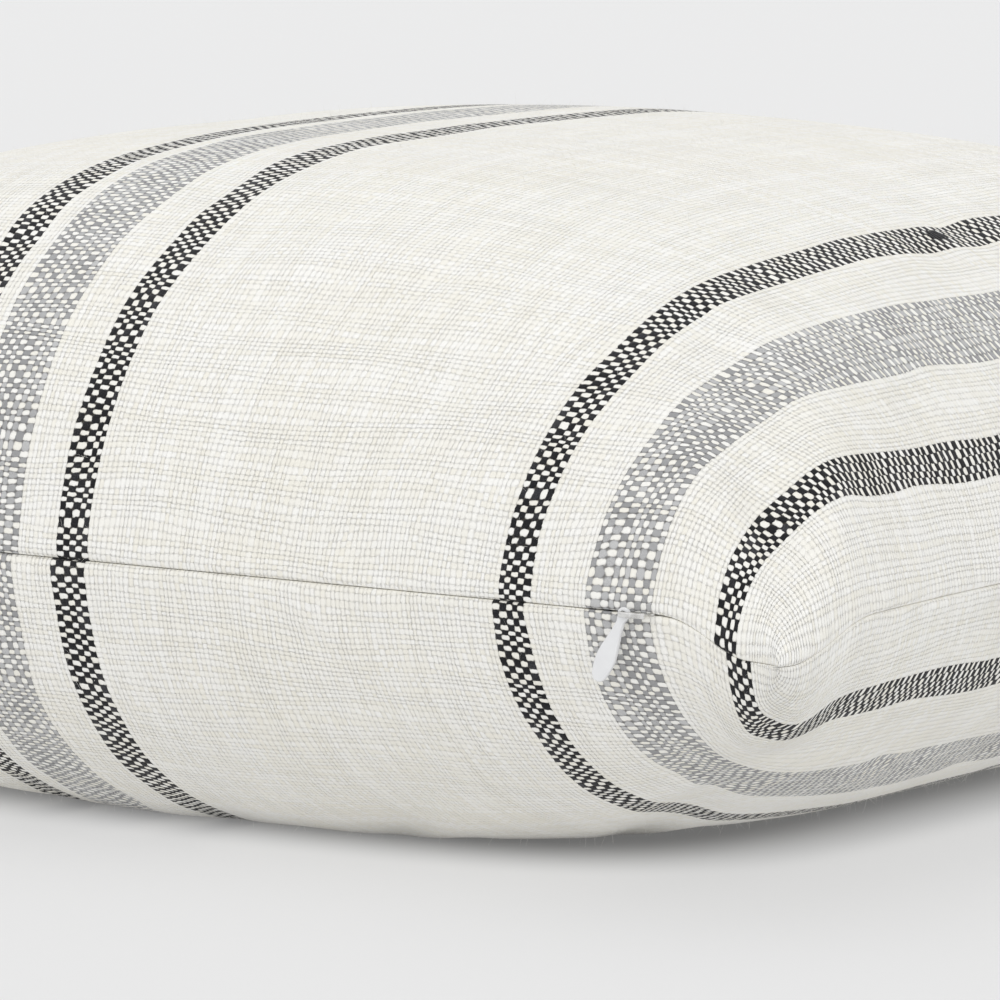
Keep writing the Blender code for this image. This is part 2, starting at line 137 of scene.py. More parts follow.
# ---------------------------------------------------------------- formula surface

HEIGHT_SHARES = np.linspace(0.0, 1.0, 25)


def arc_table(reach, height, power, steps=240):
    angle = np.linspace(0.0, 0.5 * math.pi, steps)
    across = np.sin(angle) ** (2.0 / power)
    up = height * np.cos(angle)
    length = np.concatenate([[0.0], np.cumsum(np.hypot(np.diff(reach * across), np.diff(up)))])
    return length / length[-1], across


def arc_tables(rise, power):
    return [arc_table(SIDE_REACH, rise * share + 1e-6, power) for share in HEIGHT_SHARES]


def panel_profile(side):
    rise = RISE_TOP if side > 0 else DROP_BOTTOM
    powers = POWERS_TOP if side > 0 else POWERS_BOTTOM
    return rise, powers, [arc_tables(rise, power) for power in powers]


PROFILES = {side: panel_profile(side) for side in (1, -1)}


def spread(position, height_share, tables):
    magnitude = np.abs(position)
    place = np.clip(height_share, 0.0, 1.0) * (len(HEIGHT_SHARES) - 1)
    low = np.minimum(place.astype(int), len(HEIGHT_SHARES) - 2)
    share = place - low
    result = np.zeros_like(magnitude)
    for k, (length, across) in enumerate(tables):
        weight = np.where(low == k, 1.0 - share, 0.0) + np.where(low + 1 == k, share, 0.0)
        result += weight * np.interp(magnitude, length, across)
    return np.sign(position) * result


def fullness(position, power):
    return np.sqrt(np.clip(1.0 - np.abs(position) ** power, 0.0, 1.0))


def ease(start, end, value):
    share = np.clip((value - start) / (end - start), 0.0, 1.0)
    return share * share * (3.0 - 2.0 * share)


def surface(a, b, side, inset=0.0, shrink=0.0):
    """Points of one panel with its seam closed. a and b are cloth positions from -1 to 1."""
    a, b = np.broadcast_arrays(np.asarray(a, float), np.asarray(b, float))
    rise, (power_x, power_y), (tables_x, tables_y) = PROFILES[side]
    s0 = spread(a, np.ones_like(a), tables_x)
    t0 = spread(b, np.ones_like(b), tables_y)
    s = spread(a, fullness(t0, power_y), tables_x)
    t = spread(b, fullness(s0, power_x), tables_y)
    reach_x = SIDE_REACH + (CORNER_REACH - SIDE_REACH) * np.abs(t) ** SIDE_BOW_POWER
    front = ZIP_REACH + (CORNER_FRONT - ZIP_REACH) * np.abs(s) ** ZIP_BOW_POWER
    back = BACK_REACH + (CORNER_REACH - BACK_REACH) * np.abs(s) ** SIDE_BOW_POWER
    reach_y = front + (back - front) * (0.5 + 0.5 * np.sin(0.5 * math.pi * t))
    furthest = np.maximum(np.abs(s), np.abs(t))
    squared = (np.abs(s) ** CORNER_SQUARENESS + np.abs(t) ** CORNER_SQUARENESS) ** (1.0 / CORNER_SQUARENESS)
    rounding = 1.0 - (1.0 - furthest / np.maximum(squared, 1e-9)) * furthest ** 6
    x = s * (reach_x - inset) * rounding
    y = t * (reach_y - inset) * rounding
    height = (rise - shrink) * fullness(s, power_x) * fullness(t, power_y)
    droop = ease(*DROOP_ALONG_ZIP, np.abs(s)) * ease(*DROOP_ALONG_SIDE, np.abs(t))
    z = SEAM_HEIGHT - CORNER_DROOP * droop + side * height
    if side < 0:
        z = np.maximum(z, shrink)
    return np.stack([x, y, z], axis=-1)


def graded(cells, edge_bias=1.35):
    even = np.linspace(-1.0, 1.0, cells + 1)
    return np.sign(even) * (1.0 - (1.0 - np.abs(even)) ** edge_bias)


# ---------------------------------------------------------------- mesh helpers

def mesh_object(name, points, faces, material, smooth=True):
    mesh = bpy.data.meshes.new(name)
    mesh.from_pydata([tuple(map(float, p)) for p in points], [], faces)
    mesh.update()
    mesh.materials.append(material)
    if smooth:
        mesh.shade_smooth()
    obj = bpy.data.objects.new(name, mesh)
    bpy.context.scene.collection.objects.link(obj)
    return obj


def quads(columns, rows, flip=False, offset=0):
    faces = []
    for i in range(columns - 1):
        for j in range(rows - 1):
            low = offset + i * rows + j
            face = (low, low + rows, low + rows + 1, low + 1)
            faces.append(face[::-1] if flip else face)
    return faces


def rim_indices(columns, rows):
    rim = [i * rows for i in range(columns)]
    rim += [(columns - 1) * rows + j for j in range(1, rows)]
    rim += [i * rows + rows - 1 for i in range(columns - 2, -1, -1)]
    rim += [j for j in range(rows - 2, 0, -1)]
    return rim


def grid_normals(points):
    """Unit normals of a grid whose columns run along +X and rows along +Y, facing up for a top panel."""
    along = np.gradient(points, axis=0)
    across = np.gradient(points, axis=1)
    normal = np.cross(along, across)
    return normal / np.maximum(np.linalg.norm(normal, axis=-1, keepdims=True), 1e-12)


# ---------------------------------------------------------------- cushion simulation

def closed_cushion(top, bottom):
    """One closed mesh of both panels that share their seam, and the bottom grid's vertex numbers."""
    count = top.shape[0]
    index = np.arange(count * count).reshape(count, count).copy()
    points = list(top.reshape(-1, 3))
    for i in range(1, count - 1):
        for j in range(1, count - 1):
            index[i, j] = len(points)
            points.append(bottom[i, j])
    faces = quads(count, count)
    flat = index.reshape(-1)
    faces += [tuple(int(flat[k]) for k in face) for face in quads(count, count, flip=True)]
    return points, faces, index


def settle(top, bottom):
    """Inflates the sewn cover a little with the cloth solver, its seam held, and returns both grids."""
    count = top.shape[0]
    points, faces, index = closed_cushion(top, bottom)
    obj = mesh_object("settling_cover", points, faces, bpy.data.materials.new("settling"))
    group = obj.vertex_groups.new(name="seam")
    rim = rim_indices(count, count)
    group.add(rim, 1.0, "REPLACE")
    cloth = obj.modifiers.new("cloth", "CLOTH")
    settings = cloth.settings
    settings.quality = 4
    settings.mass = 0.25
    settings.tension_stiffness = 18.0
    settings.compression_stiffness = 12.0
    settings.shear_stiffness = 4.0
    settings.bending_stiffness = 0.8
    settings.shrink_min = -0.010
    settings.use_pressure = True
    settings.uniform_pressure_force = SIM_PRESSURE
    settings.vertex_group_mass = "seam"
    settings.effector_weights.gravity = 0.0
    cloth.collision_settings.use_collision = False
    cloth.collision_settings.use_self_collision = False
    cloth.point_cache.frame_start = 1
    cloth.point_cache.frame_end = SIM_FRAMES
    scene = bpy.context.scene
    for number in range(1, SIM_FRAMES + 1):
        scene.frame_set(number)
    shape = obj.evaluated_get(bpy.context.evaluated_depsgraph_get()).to_mesh()
    found = np.empty(len(points) * 3)
    shape.vertices.foreach_get("co", found)
    found = found.reshape(-1, 3)
    scene.frame_set(1)
    bpy.data.objects.remove(obj, do_unlink=True)
    grid = np.arange(count * count).reshape(count, count)
    return wrinkled(top, found[grid], 1), wrinkled(bottom, found[index], -1)


def blurred(values, cells):
    """Gaussian blur of a grid along both axes, its edge values carried on outside."""
    reach = int(3 * cells)
    weights = np.exp(-0.5 * (np.arange(-reach, reach + 1) / cells) ** 2)
    weights /= weights.sum()
    for axis in (0, 1):
        padded = np.pad(values, [(reach, reach) if k == axis else (0, 0) for k in (0, 1)], mode="edge")
        values = np.apply_along_axis(lambda line: np.convolve(line, weights, mode="valid"), axis, padded)
    return values


def wrinkled(before, after, side):
    """The formula's grid with the wrinkles that the solver made, without its overall swelling."""
    normal = grid_normals(before) * side
    outward = ((after - before) * normal).sum(axis=-1)
    detail = outward - blurred(outward, WRINKLE_CELLS)
    limit = np.where(detail > 0.0, SIM_CAP, SIM_DENT)
    detail = limit * np.tanh(detail / limit)
    detail[0, :] = detail[-1, :] = detail[:, 0] = detail[:, -1] = 0.0
    return before + normal * detail[..., None]


def lumps(points, seed):
    """Slow unevenness of the filling, as a height at each point."""
    flat = points.reshape(-1, 3)
    offset = Vector((3.1 * seed, 7.7, 1.3))
    values = [noise.noise(Vector(p) / LUMP_SIZE + offset) for p in flat]
    return np.array(values).reshape(points.shape[:2])


# ---------------------------------------------------------------- cover panels

def seam_distances(steps):
    """Metres along the cloth from each grid point to the nearest sewn side and to the zip side."""
    a = steps[:, None] * np.ones((1, len(steps)))
    b = steps[None, :] * np.ones((len(steps), 1))
    sewn = np.minimum(1.0 - np.abs(a), 1.0 - b) * FABRIC_HALF
    zipped = (1.0 + b) * FABRIC_HALF
    return sewn, zipped


def build_panel(name, side, grid, steps, material):
    """Panel with its edge folded in at the seam. UVs are metres along the weave."""
    count = len(steps)
    normal = grid_normals(grid) * side
    sewn, zipped = seam_distances(steps)
    run = (grid[..., 0] + STITCH_SLANT * grid[..., 1]) / STITCH_PITCH
    stitch = 1.0 + STITCH_DEPTH * np.sin(2.0 * math.pi * run)
    near_sewn = np.exp(-(sewn / PINCH_WIDTH) ** 2)
    near_zipped = np.exp(-(zipped / PINCH_WIDTH) ** 2)
    pinch = PINCH_DEPTH * (near_sewn * stitch + PINCH_ZIP_SHARE * near_zipped)
    flat_normal = normal.copy()
    edge = np.zeros((count, count), bool)
    edge[0, :] = edge[-1, :] = edge[:, 0] = edge[:, -1] = True
    outwards = grid.copy()
    outwards[..., 2] = 0.0
    outwards[1:-1, 0, 0] = 0.0
    outwards[1:-1, -1, 0] = 0.0
    outwards[0, 1:-1, 1] = 0.0
    outwards[-1, 1:-1, 1] = 0.0
    outwards /= np.maximum(np.linalg.norm(outwards, axis=-1, keepdims=True), 1e-9)
    flat_normal[edge] = outwards[edge]
    points = grid - flat_normal * pinch[..., None]
    zipped_part = 1.0 - ease(*ZIP_HALF_LENGTH, np.abs(steps))
    near_zip = (1.0 - ease(*ZIP_DEPTH, steps))[None, :] * zipped_part[:, None]
    open_from, full_from, full_to, open_to = SLIDER_OPENING
    opening = ease(open_from, full_from, grid[..., 0]) * (1.0 - ease(full_to, open_to, grid[..., 0]))
    zip_gap = HALF_GAP_ZIP + (HALF_GAP_SLIDER - HALF_GAP_ZIP) * opening
    gap = HALF_GAP_SEWN + (zip_gap - HALF_GAP_SEWN) * near_zip
    points[..., 2] += side * gap
    points[..., 2] = np.maximum(points[..., 2], FLOOR_CLEARANCE)
    rows = [points.reshape(-1, 3)]
    rim = rim_indices(count, count)
    ring = points.reshape(-1, 3)[rim]
    ring_out = outwards.reshape(-1, 3)[rim]
    ring_gap = gap.reshape(-1)[rim]
    for depth, close in LIP_STEPS:
        lip = ring - ring_out * depth
        lip[:, 2] -= side * ring_gap * close
        rows.append(lip)
    faces = quads(count, count, flip=side < 0)
    total = count * count
    size = len(rim)
    for level in range(2):
        for k in range(size):
            after = (k + 1) % size
            here = (rim[k], rim[after]) if level == 0 else (total + k, total + after)
            there = total + level * size
            face = (here[0], there + k, there + after, here[1])
            faces.append(face if side > 0 else face[::-1])
    obj = mesh_object(name, np.concatenate(rows), faces, material)
    u = (steps[:, None] * np.ones((1, count)) * FABRIC_HALF).reshape(-1)
    v = (steps[None, :] * np.ones((count, 1)) * FABRIC_HALF).reshape(-1)
    if side < 0:
        outermost = ease(*OUTER_STRIPE_FROM, np.abs(u))
        u = u + STRIPE_SHIFT_BOTTOM + np.sign(u) * OUTER_SHIFT_BOTTOM * outermost
        v = v + BOTTOM_WEFT_OFFSET
    extra_u = np.concatenate([u, u[rim], u[rim]])
    extra_v = np.concatenate([v, v[rim], v[rim]])
    weave = np.stack([extra_u, extra_v], axis=-1)
    layer = obj.data.uv_layers.new(name="weave")
    loops = np.empty(len(obj.data.loops), int)
    obj.data.loops.foreach_get("vertex_index", loops)
    layer.data.foreach_set("uv", weave[loops].reshape(-1))
    finer = obj.modifiers.new("finer", "SUBSURF")
    finer.levels = 1
    finer.render_levels = 1
    finer.uv_smooth = "NONE"
    return obj


# ---------------------------------------------------------------- node arithmetic

class Field:
    """A number that varies over the surface, written with ordinary arithmetic and made of Math nodes."""

    def __init__(self, tree, source):
        self.tree = tree
        self.source = source

    def math(self, operation, *others, clamp=False):
        node = self.tree.nodes.new("ShaderNodeMath")
        node.operation = operation
        node.use_clamp = clamp
        for socket, value in zip(node.inputs, (self, *others)):
            if isinstance(value, Field):
                self.tree.links.new(value.source, socket)
            else:
                socket.default_value = value
        return Field(self.tree, node.outputs[0])

    def __add__(self, other):
        return self.math("ADD", other)

    __radd__ = __add__

    def __sub__(self, other):
        return self.math("SUBTRACT", other)

    def __rsub__(self, other):
        return (self * -1.0) + other

    def __mul__(self, other):
        return self.math("MULTIPLY", other)

    __rmul__ = __mul__

    def __truediv__(self, other):
        return self.math("DIVIDE", other)

    def step_between(self, low, high):
        node = self.tree.nodes.new("ShaderNodeMapRange")
        node.interpolation_type = "SMOOTHSTEP"
        self.tree.links.new(self.source, node.inputs["Value"])
        for name, value in (("From Min", low), ("From Max", high)):
            if isinstance(value, Field):
                self.tree.links.new(value.source, node.inputs[name])
            else:
                node.inputs[name].default_value = value
        return Field(self.tree, node.outputs["Result"])

    def near(self, centre, half):
        """1 within half of centre, else 0."""
        return (self - centre).math("ABSOLUTE").math("LESS_THAN", half)


def combine(tree, x, y, z=0.0):
    node = tree.nodes.new("ShaderNodeCombineXYZ")
    for socket, value in zip(node.inputs, (x, y, z)):
        if isinstance(value, Field):
            tree.links.new(value.source, socket)
        else:
            socket.default_value = value
    return node.outputs[0]


def noise_at(tree, vector, scale=1.0, detail=0.0, dimensions="3D", roughness=0.5):
    node = tree.nodes.new("ShaderNodeTexNoise")
    node.noise_dimensions = dimensions
    node.inputs["Scale"].default_value = scale
    node.inputs["Detail"].default_value = detail
    node.inputs["Roughness"].default_value = roughness
    tree.links.new(vector, node.inputs["Vector"])
    return Field(tree, node.outputs["Fac"])


def random_of(tree, number, seed):
    node = tree.nodes.new("ShaderNodeTexWhiteNoise")
    node.noise_dimensions = "2D"
    tree.links.new(combine(tree, number, seed), node.inputs["Vector"])
    return Field(tree, node.outputs["Value"])


def blend(tree, share, low, high):
    """Colour between low and high. Each is a colour or a socket."""
    node = tree.nodes.new("ShaderNodeMix")
    node.data_type = "RGBA"
    tree.links.new(share.source, node.inputs["Factor"])
    for socket, value in ((node.inputs[6], low), (node.inputs[7], high)):
        if isinstance(value, tuple):
            socket.default_value = (*value, 1.0)
        else:
            tree.links.new(value, socket)
    return node.outputs[2]


def new_material(name, roughness, metallic=0.0, colour=(0.8, 0.8, 0.8)):
    material = bpy.data.materials.new(name)
    material.use_nodes = True
    tree = material.node_tree
    shader = tree.nodes["Principled BSDF"]
    shader.inputs["Base Color"].default_value = (*colour, 1.0)
    shader.inputs["Roughness"].default_value = roughness
    shader.inputs["Metallic"].default_value = metallic
    return material, tree, shader


def add_bump(tree, shader, height, distance, strength=1.0):
    node = tree.nodes.new("ShaderNodeBump")
    node.inputs["Distance"].default_value = distance
    node.inputs["Strength"].default_value = strength
    tree.links.new(height.source, node.inputs["Height"])
    tree.links.new(node.outputs[0], shader.inputs["Normal"])


# ---------------------------------------------------------------- materials

YARN_OVAL = 2.3              # roundness of the visible stretches of yarn
YARN_HALF_LENGTH = 0.60      # half the length of such a stretch, in threads
IVORY_LIGHT = (0.95, 0.940, 0.905)
IVORY_WARM = (0.90, 0.872, 0.785)
# painted shade in the holes between the ivory yarns
HOLE_SHADE = (0.47, 0.40, 0.27)
BLACK_THREAD = (0.010, 0.010, 0.012)
BLACK_WORN = (0.060, 0.060, 0.066)
GREY_THREAD = (0.33, 0.33, 0.335)
GREY_PALE = (0.58, 0.58, 0.58)
# painted shade between the grey yarns
GREY_HOLLOW_SHADE = (0.20, 0.20, 0.205)
CASING_WHITE = (0.86, 0.86, 0.84)
CASING_PITCH = 0.0011
TAPE_IVORY = (0.84, 0.82, 0.76)
TAPE_PITCH = 0.0009
THREAD_IVORY = (0.86, 0.84, 0.78)
THREAD_PITCH = 0.0016


def cover_cloth():
    """Plain weave of uneven slub yarns: ivory weft through ivory, black and grey warp."""
    material, tree, shader = new_material("ivory_slub_stripe", 0.90)
    uv = tree.nodes.new("ShaderNodeUVMap")
    uv.uv_map = "weave"
    split = tree.nodes.new("ShaderNodeSeparateXYZ")
    tree.links.new(uv.outputs[0], split.inputs[0])
    u0 = Field(tree, split.outputs[0])
    v0 = Field(tree, split.outputs[1])

    threads = u0 / WARP_PITCH
    marks = []
    for middle, is_black in STRIPES:
        count = BLACK_THREADS if is_black else GREY_THREADS
        width = count * STRIPE_PITCH
        before = sum(n - n * STRIPE_PITCH / WARP_PITCH for place, _, n in marks)
        left = round((middle - 0.5 * width) / WARP_PITCH + before)
        edge = (left - before) * WARP_PITCH
        threads = threads + (u0 - edge).math("DIVIDE", width, clamp=True) * (count - width / WARP_PITCH)
        marks.append((left, is_black, count))
    wander_u = noise_at(tree, combine(tree, u0 * 150.0, v0 * 30.0), dimensions="2D") - 0.5
    drift_u = noise_at(tree, combine(tree, u0 * 30.0, v0 * 16.0, 4.0)) - 0.5
    wander_v = noise_at(tree, combine(tree, u0 * 30.0, v0 * 160.0, 5.0)) - 0.5
    drift_v = noise_at(tree, combine(tree, u0 * 16.0, v0 * 34.0, 6.0)) - 0.5
    u = threads + wander_u * 1.2 + drift_u * 1.3
    v = v0 / WEFT_PITCH + wander_v * 1.7 + drift_v * 3.2
    kink = noise_at(tree, combine(tree, u0 * 700.0, v0 * 700.0, 9.0), detail=1.0) - 0.5
    bend = noise_at(tree, combine(tree, u0 * 700.0, v0 * 700.0, 19.0), detail=1.0) - 0.5
    u = u + kink * 0.36
    v = v + bend * 0.36
    i = u.math("FLOOR")
    j = v.math("FLOOR")
    x = u - i - 0.5
    y = v - j - 0.5
    over = 1.0 - (i + j).math("FLOORED_MODULO", 2.0) * 2.0

    black = None
    grey = None
    for left, is_black, count in marks:
        inside = (i + 0.5).near(left + 0.5 * count, 0.5 * count)
        if is_black:
            black = inside if black is None else black + inside
        else:
            grey = inside if grey is None else grey + inside

    fibre = noise_at(tree, combine(tree, u0 * 2400.0, v0 * 2400.0), detail=2.0, dimensions="2D")
    slub_warp = noise_at(tree, combine(tree, i * 7.31, v0 * 42.0), dimensions="2D").step_between(0.46, 0.68)
    slub_weft = noise_at(tree, combine(tree, u0 * 42.0, j * 9.17, 3.0)).step_between(0.46, 0.68)
    striped = black + grey
    across_warp = x.math("ABSOLUTE")
    across_weft = y.math("ABSOLUTE")
    along_warp_top = across_weft + (1.0 - across_weft * 2.0) * (0.5 - over * 0.5)
    along_weft_top = across_warp + (1.0 - across_warp * 2.0) * (0.5 + over * 0.5)
    half_warp = 0.45 + slub_warp * 0.13 + random_of(tree, i, 1.0) * 0.07 + striped * 0.03
    half_weft = 0.46 + slub_weft * 0.13 + random_of(tree, j, 2.0) * 0.07 - striped * 0.06

    def oval(across, half_across, along):
        """1 in the middle of a visible stretch of yarn, 0 round its oval outline, less outside."""
        wide = (across / half_across).math("POWER", YARN_OVAL)
        return 1.0 - wide - (along / YARN_HALF_LENGTH).math("POWER", YARN_OVAL)

    warp = oval(across_warp, half_warp, along_warp_top)
    weft = oval(across_weft, half_weft, along_weft_top)
    top = warp.math("MAXIMUM", weft)
    ragged = (fibre - 0.5) * 0.30
    on_top = (warp - weft + ragged + striped * 0.10).step_between(-0.12, 0.12)
    dome = top.step_between(-1.0, 0.9)

    along_warp = noise_at(tree, combine(tree, i * 3.7, v0 * 90.0), detail=1.0, dimensions="2D")
    along_weft = noise_at(tree, combine(tree, u0 * 90.0, j * 4.1, 8.0), detail=1.0)
    warm = noise_at(tree, combine(tree, u0 * 22.0, v0 * 22.0, 2.0), detail=2.0)
    warp_tone = along_warp * 0.5 + random_of(tree, i, 4.0) * 0.35 + warm * 0.35
    weft_tone = along_weft * 0.5 + random_of(tree, j, 5.0) * 0.35 + warm * 0.35
    ivory_warp = blend(tree, warp_tone.step_between(0.34, 0.92), IVORY_LIGHT, IVORY_WARM)
    ivory_weft = blend(tree, weft_tone.step_between(0.34, 0.92), IVORY_LIGHT, IVORY_WARM)
    worn = (along_warp * 0.6 + fibre * 0.4).step_between(0.45, 0.80)
    dark = blend(tree, worn, BLACK_THREAD, BLACK_WORN)
    mist_tone = random_of(tree, i * 1.7 + j * 0.31, 7.0) * 0.35 + slub_warp * -0.35 + warm * 0.5 + worn * 0.4
    mist = blend(tree, mist_tone.step_between(0.0, 0.75), GREY_THREAD, GREY_PALE)
    warp_colour = blend(tree, black, blend(tree, grey, ivory_warp, mist), dark)
    yarn = blend(tree, on_top, ivory_weft, warp_colour)
    hollow_shade = blend(tree, grey * 0.9, blend(tree, black * 0.92, HOLE_SHADE, BLACK_THREAD), GREY_HOLLOW_SHADE)
    # painted shade: each yarn's colour darkens towards black at the edges of its visible stretch, where it
    # curves down under its neighbour, most in the stripes
    edge_shade = 0.06 + striped * 0.28
    yarn = blend(tree, top.step_between(-0.15, 0.60) * edge_shade + (1.0 - edge_shade), BLACK_THREAD, yarn)
    # painted shade in the holes where the yarns' height is low: brownish in the ivory, dark grey in the grey
    # stripes, the black yarn in the black stripes; the felted noise leaves some holes closed by fluff
    felted = noise_at(tree, combine(tree, u0 * 330.0, v0 * 330.0, 12.0), detail=1.0) * (1.0 - striped)
    open_from = striped * 0.25 - 0.70 - felted * 0.55
    open_to = striped * 0.50 - 0.15 - felted * 0.55
    shade = blend(tree, top.step_between(open_from, open_to), hollow_shade, yarn)

    knot_u = (u0 - KNOT_PLACE[0]) / 0.0026
    knot_v = (v0 - KNOT_PLACE[1]) / 0.0048
    knot = (1.0 - (knot_u * knot_u + knot_v * knot_v + (fibre - 0.5) * 0.6)).step_between(0.0, 0.5)
    tree.links.new(blend(tree, knot, shade, BLACK_THREAD), shader.inputs["Base Color"])
    shader.inputs["Sheen Weight"].default_value = 0.08
    shader.inputs["Specular IOR Level"].default_value = 0.25
    add_bump(tree, shader, dome * 1.15 + fibre * 0.30 + knot * 1.5, 0.00046)
    return material


def plain_cloth(name, colour, pitch):
    """Fine plain cloth for the pieces inside the cover, from the object's own coordinates."""
    material, tree, shader = new_material(name, 0.88)
    place = tree.nodes.new("ShaderNodeTexCoord")
    split = tree.nodes.new("ShaderNodeSeparateXYZ")
    tree.links.new(place.outputs["Object"], split.inputs[0])
    x = Field(tree, split.outputs[0]) * (math.pi / pitch)
    y = (Field(tree, split.outputs[1]) + Field(tree, split.outputs[2])) * (math.pi / pitch)
    ribs = x.math("SINE") * y.math("SINE")
    cloud = noise_at(tree, place.outputs["Object"], scale=180.0, detail=3.0)
    # partly painted shade: the colour dims where the weave's bump height is low, in its hollows; the cloud
    # also gives the yarn an uneven tone
    dim_in_hollows = tuple(0.82 * c for c in colour)
    tone = (ribs * 0.25 + cloud).step_between(0.2, 0.8)
    tree.links.new(blend(tree, tone, dim_in_hollows, colour), shader.inputs["Base Color"])
    add_bump(tree, shader, ribs * 0.5 + cloud, 0.0002)
    return material


def nickel():
    """Plated metal with fine drawing marks and a little handling wear."""
    material, tree, shader = new_material("nickel_plate", 0.24, 1.0, (0.74, 0.735, 0.72))
    place = tree.nodes.new("ShaderNodeTexCoord")
    marks = noise_at(tree, place.outputs["Object"], scale=2200.0, detail=3.0)
    wear = noise_at(tree, place.outputs["Object"], scale=420.0, detail=2.0)
    colour = blend(tree, wear.step_between(0.35, 0.75), (0.80, 0.795, 0.78), (0.58, 0.57, 0.55))
    tree.links.new(colour, shader.inputs["Base Color"])
    tree.links.new((wear * 0.22 + 0.14).source, shader.inputs["Roughness"])
    add_bump(tree, shader, marks, 0.00002)
    return material


def moulded_white():
    """Glossy white enamel with a faint cloudiness."""
    material, tree, shader = new_material("white_enamel", 0.16)
    place = tree.nodes.new("ShaderNodeTexCoord")
    cloud = noise_at(tree, place.outputs["Object"], scale=260.0, detail=2.0)
    tree.links.new(blend(tree, cloud, (0.75, 0.753, 0.76), (0.84, 0.843, 0.85)), shader.inputs["Base Color"])
    tree.links.new((cloud * 0.10 + 0.12).source, shader.inputs["Roughness"])
    shader.inputs["Coat Weight"].default_value = 0.6
    shader.inputs["Coat Roughness"].default_value = 0.08
    add_bump(tree, shader, cloud, 0.00003)
    return material


def nylon():
    material, tree, shader = new_material("coil_nylon", 0.42)
    place = tree.nodes.new("ShaderNodeTexCoord")
    cloud = noise_at(tree, place.outputs["Object"], scale=700.0, detail=2.0)
    tree.links.new(blend(tree, cloud, (0.72, 0.70, 0.64), (0.86, 0.845, 0.80)), shader.inputs["Base Color"])
    add_bump(tree, shader, cloud, 0.00003)
    return material


# ---------------------------------------------------------------- build

def build_cover():
    steps = graded(COVER_CELLS)
    top = surface(steps[:, None], steps[None, :], 1)
    bottom = surface(steps[:, None], steps[None, :], -1)
    inner = np.minimum(1.0 - np.abs(steps[:, None]), 1.0 - np.abs(steps[None, :]))
    calm = ease(0.0, CALM_EDGE, inner)[..., None]
    for grid, side in ((top, 1), (bottom, -1)):
        raised = lumps(grid, side)[..., None] * LUMP_HEIGHT * calm
        grid += grid_normals(grid) * side * np.maximum(raised, -LUMP_DENT)
    top, bottom = settle(top, bottom)
    cloth = cover_cloth()
    panels = []
    for side, grid, label, node in (
        (1, top, "cover_top_cloth", "cover_top_panel"),
        (-1, bottom, "cover_bottom_cloth", "cover_bottom_panel"),
    ):
        panel = build_panel(label, side, grid, steps, cloth)
        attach(panel, "pillow")
        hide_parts(node)
        panels.append(panel)
    add_fuzz(panels)


def add_fuzz(panels):
    """Loose fibre ends that stand out of the cloth, as thin curved blades."""
    chance = np.random.default_rng(FUZZ_SEED)
    points = []
    faces = []
    for panel in panels:
        shape = panel.data
        polygons = shape.polygons
        areas = np.array([face.area for face in polygons])
        picks = chance.choice(len(polygons), size=FUZZ_COUNT, p=areas / areas.sum())
        for pick in picks:
            face = polygons[int(pick)]
            towards_corner = shape.vertices[face.vertices[0]].co - face.center
            root = face.center + 0.5 * towards_corner * chance.uniform(-1, 1)
            lean = Vector(chance.normal(0.0, 1.0, 3).tolist())
            out = (face.normal + FUZZ_LEAN * lean.normalized()).normalized()
            curl = Vector(chance.normal(0.0, 0.55, 3).tolist())
            across = out.cross(curl).normalized() * FUZZ_WIDTH
            length = chance.uniform(0.3, 1.0) * FUZZ_LENGTH
            start = len(points)
            for step in range(FUZZ_STEPS + 1):
                share = step / FUZZ_STEPS
                spine = root + out * length * share + curl * length * FUZZ_CURL * share * share
                half = across * (1.0 - FUZZ_TAPER * share)
                points += [spine - half, spine + half]
            for step in range(FUZZ_STEPS):
                low = start + 2 * step
                faces.append((low, low + 1, low + 3, low + 2))
    material, tree, shader = new_material("loose_fibre", 0.9, colour=(0.90, 0.89, 0.86))
    place = tree.nodes.new("ShaderNodeTexCoord")
    cloud = noise_at(tree, place.outputs["Object"], scale=90.0)
    tree.links.new(blend(tree, cloud, (0.80, 0.78, 0.73), (0.94, 0.93, 0.90)), shader.inputs["Base Color"])
    for point in points:
        point.z = max(point.z, FLOOR_CLEARANCE)
    fuzz = mesh_object("cover_fuzz", points, faces, material)
    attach(fuzz, "pillow")


def build_insert():
    """The inner cushion: one closed, sewn casing, in place of the casing panels and the fill, which are
    hidden.
    """
    steps = graded(INSERT_CELLS)
    top = surface(steps[:, None], steps[None, :], 1, INSERT_INSET, INSERT_CLEARANCE)
    bottom = surface(steps[:, None], steps[None, :], -1, INSERT_INSET, INSERT_CLEARANCE)
    points, faces, _ = closed_cushion(top, bottom)
    casing = plain_cloth("casing_white", CASING_WHITE, CASING_PITCH)
    cushion = mesh_object("insert_cushion", points, faces, casing)
    finer = cushion.modifiers.new("finer", "SUBSURF")
    finer.levels = 1
    finer.render_levels = 1
    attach(cushion, "pillow")
    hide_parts("insert_casing_top", "insert_casing_bottom", "insert_fill")


def soft_strip(name, node, outer, inner, material):
    """Closed soft strip between two matching grids of points, in place of a plain solid."""
    total = outer.shape[0] * outer.shape[1]
    points = np.concatenate([outer.reshape(-1, 3), inner.reshape(-1, 3)])
    faces = quads(*outer.shape[:2])
    faces += quads(*outer.shape[:2], flip=True, offset=total)
    rim = rim_indices(*outer.shape[:2])
    for k, here in enumerate(rim):
        after = rim[(k + 1) % len(rim)]
        faces.append((after, here, here + total, after + total))
    piece = mesh_object(name, points, faces, material)
    shell = bmesh.new()
    shell.from_mesh(piece.data)
    bmesh.ops.recalc_face_normals(shell, faces=shell.faces)
    shell.to_mesh(piece.data)
    shell.free()
    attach(piece, "pillow")
    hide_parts(node)


